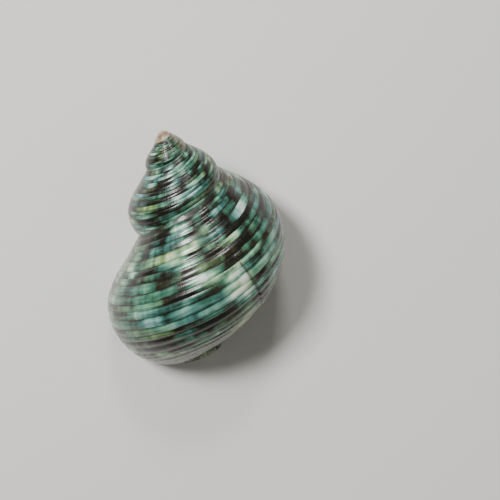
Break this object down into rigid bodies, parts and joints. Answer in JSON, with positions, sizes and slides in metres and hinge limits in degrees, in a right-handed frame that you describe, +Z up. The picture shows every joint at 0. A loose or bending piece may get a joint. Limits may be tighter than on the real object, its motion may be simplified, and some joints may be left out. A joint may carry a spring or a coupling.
{
  "type": "turban shell",
  "caption": "Coiled, thick-walled sea snail shell with a low pointed spire, a swollen last whorl and a round open mouth in its underside.",
  "frame": {"origin": "middle of the footprint, on the plane that the mouth's rim rests on", "axes": "+Z up out of the resting plane, +Y toward the apex, +X toward the right of the last whorl, seen from above with the apex away"},
  "size_m": [0.0632, 0.0738, 0.0464],
  "materials": {
    "shell": "polished shell: fine spiral bands of teal, mint, olive and near-black dashes under a glossy clear surface, with a pale pearly inside"
  },
  "bodies": {
    "root": {"shell": "shell"}
  },
  "joints": []
}
